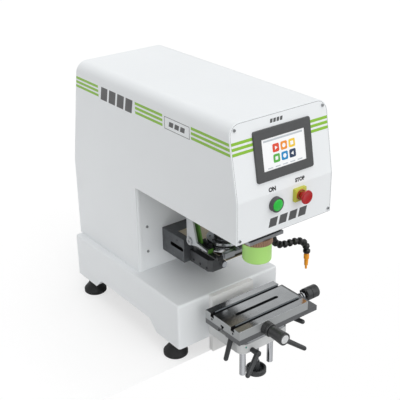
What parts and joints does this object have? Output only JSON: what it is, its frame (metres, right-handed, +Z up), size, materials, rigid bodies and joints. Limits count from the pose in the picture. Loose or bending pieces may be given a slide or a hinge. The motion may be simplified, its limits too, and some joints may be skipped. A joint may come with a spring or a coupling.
{
  "type": "pad printing machine",
  "caption": "Bench pad printing machine with covered hood, silicone pad on a ram, ink cup and plate, touch panel and a height-adjustable T-slot cross table.",
  "frame": {"origin": "on the bench plane, on the centre plane, below the outer face of the upright front panel", "axes": "+X to the operator's right, +Y from the operator to the back, +Z up"},
  "size_m": [0.3273, 0.679, 0.6315],
  "materials": {
    "white_cover": "fine powder coat",
    "grey_frame": "plain paint",
    "foot_rubber": "matt rubber",
    "zinc_steel": "bright zinc",
    "chrome_steel": "polished hard chrome",
    "plain_aluminium": "machined",
    "white_alloy": "white powder coat on thick plate",
    "dark_steel": "black oxide",
    "ground_steel": "ground",
    "plate_steel": "etched printing steel",
    "lever_plastic": "moulded",
    "knob_plastic": "turned",
    "panel_plastic": "fine grain",
    "screen_glass": "glossy",
    "green_button": "glossy",
    "yellow_plate": "moulded",
    "red_knob": "glossy",
    "green_silicone": "smooth silicone",
    "brown_wood": "sealed beech",
    "hose_plastic": "moulded acetal",
    "nozzle_plastic": "moulded acetal",
    "cup_black": "moulded"
  },
  "bodies": {
    "machine": {"base_housing": "white_cover", "base_bottom_plate": "grey_frame", "rubber_feet": "foot_rubber", "foot_studs": "zinc_steel", "main_cover": "white_cover", "front_panel": "white_cover", "rear_cover": "white_cover", "column_cover": "white_cover", "cover_screws": "zinc_steel", "frame_side_plates": "grey_frame", "mast_plate": "grey_frame", "front_tie_plate": "grey_frame", "carriage_rods": "chrome_steel", "shuttle_cylinder": "plain_aluminium", "plate_holder_block": "dark_steel", "ink_support_block": "dark_steel", "plate_tray": "dark_steel", "printing_plate": "plate_steel", "table_mount_plate": "white_alloy", "table_bracket": "white_alloy", "touch_panel": "panel_plastic", "touch_screen": "screen_glass", "start_button_ring": "panel_plastic", "stop_plate": "yellow_plate", "control_box": "grey_frame", "valve_block": "plain_aluminium", "mains_inlet": "panel_plastic", "air_inlet": "zinc_steel"},
    "pad_carriage": {"carriage": "plain_aluminium", "ram_cylinder": "plain_aluminium", "shuttle_rod": "chrome_steel", "cup_arm": "plain_aluminium", "cup_yoke": "plain_aluminium", "ink_cup": "cup_black"},
    "pad_ram": {"ram_rods": "chrome_steel", "ram_plate": "dark_steel", "pad_holder": "plain_aluminium", "pad_base": "brown_wood", "printing_pad": "green_silicone"},
    "table_lift": {"lift_block": "plain_aluminium", "guide_columns": "chrome_steel"},
    "lift_screw": {"lift_spindle": "zinc_steel", "lift_handwheel": "lever_plastic"},
    "cross_saddle": {"saddle": "dark_steel"},
    "cross_screw": {"x_screw": "zinc_steel", "x_knob": "knob_plastic"},
    "work_table": {"table_plate": "ground_steel"},
    "table_screw": {"y_screw": "zinc_steel", "y_knob": "knob_plastic"},
    "left_bracket_lever": {"bracket_lever_left": "lever_plastic"},
    "right_bracket_lever": {"bracket_lever_right": "lever_plastic"},
    "left_lock_lever": {"lock_lever_left": "lever_plastic"},
    "right_lock_lever": {"lock_lever_right": "lever_plastic"},
    "plate_adjuster": {"plate_knob": "chrome_steel"},
    "green_start_button": {"start_button": "green_button"},
    "stop_slider": {"stop_stem": "red_knob"},
    "stop_mushroom": {"stop_knob": "red_knob"},
    "air_hose": {"hose_links": "hose_plastic"},
    "air_hose_end": {"hose_drop": "hose_plastic", "nozzle": "nozzle_plastic"}
  },
  "joints": [
    {"name": "carriage_slide", "type": "slide", "parent": "machine", "child": "pad_carriage", "axis": [0, 1, 0], "range_m": [0, 0.09]},
    {"name": "ram_slide", "type": "slide", "parent": "pad_carriage", "child": "pad_ram", "axis": [0, 0, 1], "range_m": [-0.075, 0]},
    {"name": "table_lift_slide", "type": "slide", "parent": "machine", "child": "table_lift", "axis": [0, 0, 1], "range_m": [0, 0.035]},
    {"name": "lift_screw_turn", "type": "hinge", "parent": "table_lift", "child": "lift_screw", "pos_m": [0, 0.08025, 0], "axis": [0, 0, 1], "range_deg": [-10, 4210]},
    {"name": "saddle_slide", "type": "slide", "parent": "table_lift", "child": "cross_saddle", "axis": [1, 0, 0], "range_m": [-0.025, 0.025]},
    {"name": "x_knob_turn", "type": "hinge", "parent": "cross_saddle", "child": "cross_screw", "pos_m": [0, 0.08025, 0.1165], "axis": [1, 0, 0], "range_deg": [-4510, 4510]},
    {"name": "table_slide", "type": "slide", "parent": "cross_saddle", "child": "work_table", "axis": [0, -1, 0], "range_m": [0, 0.02]},
    {"name": "y_knob_turn", "type": "hinge", "parent": "work_table", "child": "table_screw", "pos_m": [-0.0245, 0, 0.1295], "axis": [0, -1, 0], "range_deg": [-10, 3610]},
    {"name": "left_bracket_lever_turn", "type": "hinge", "parent": "machine", "child": "left_bracket_lever", "pos_m": [-0.04, 0.05, 0.065], "axis": [0, -1, 0], "range_deg": [-45, 45]},
    {"name": "right_bracket_lever_turn", "type": "hinge", "parent": "machine", "child": "right_bracket_lever", "pos_m": [0.04, 0.05, 0.065], "axis": [0, -1, 0], "range_deg": [-45, 30]},
    {"name": "left_lock_lever_turn", "type": "hinge", "parent": "table_lift", "child": "left_lock_lever", "pos_m": [-0.052, 0.08025, 0.098], "axis": [-1, 0, 0], "range_deg": [-40, 40]},
    {"name": "right_lock_lever_turn", "type": "hinge", "parent": "table_lift", "child": "right_lock_lever", "pos_m": [0.052, 0.08025, 0.098], "axis": [1, 0, 0], "range_deg": [0, 70]},
    {"name": "plate_knob_turn", "type": "hinge", "parent": "machine", "child": "plate_adjuster", "pos_m": [-0.009, 0.191, 0.206], "axis": [0, -1, 0], "range_deg": [-180, 180]},
    {"name": "start_push", "type": "slide", "parent": "machine", "child": "green_start_button", "axis": [0, 1, 0], "range_m": [0, 0.004], "stiffness_N_per_m": 500, "springref_m": -0.004},
    {"name": "stop_push", "type": "slide", "parent": "machine", "child": "stop_slider", "axis": [0, 1, 0], "range_m": [0, 0.004]},
    {"name": "stop_twist", "type": "hinge", "parent": "stop_slider", "child": "stop_mushroom", "pos_m": [0.033, 0, 0.431], "axis": [0, 1, 0], "range_deg": [0, 45], "stiffness_Nm_per_rad": 0.05, "springref_deg": -22.92},
    {"name": "hose_swing", "type": "hinge", "parent": "machine", "child": "air_hose", "pos_m": [0.068, 0.111, 0.3655], "axis": [0, 0, 1], "range_deg": [-20, 35]},
    {"name": "nozzle_swing", "type": "hinge", "parent": "air_hose", "child": "air_hose_end", "pos_m": [0.12876, 0.09608, 0.25383], "axis": [0.9711, -0.2385, 0], "range_deg": [-40, 40]}
  ],
  "couplings": [
    {"joint": "lift_screw_turn", "follows": "table_lift_slide", "rad_per_m": 2094.4},
    {"joint": "x_knob_turn", "follows": "saddle_slide", "rad_per_m": 3141.6},
    {"joint": "y_knob_turn", "follows": "table_slide", "rad_per_m": 3141.6}
  ]
}
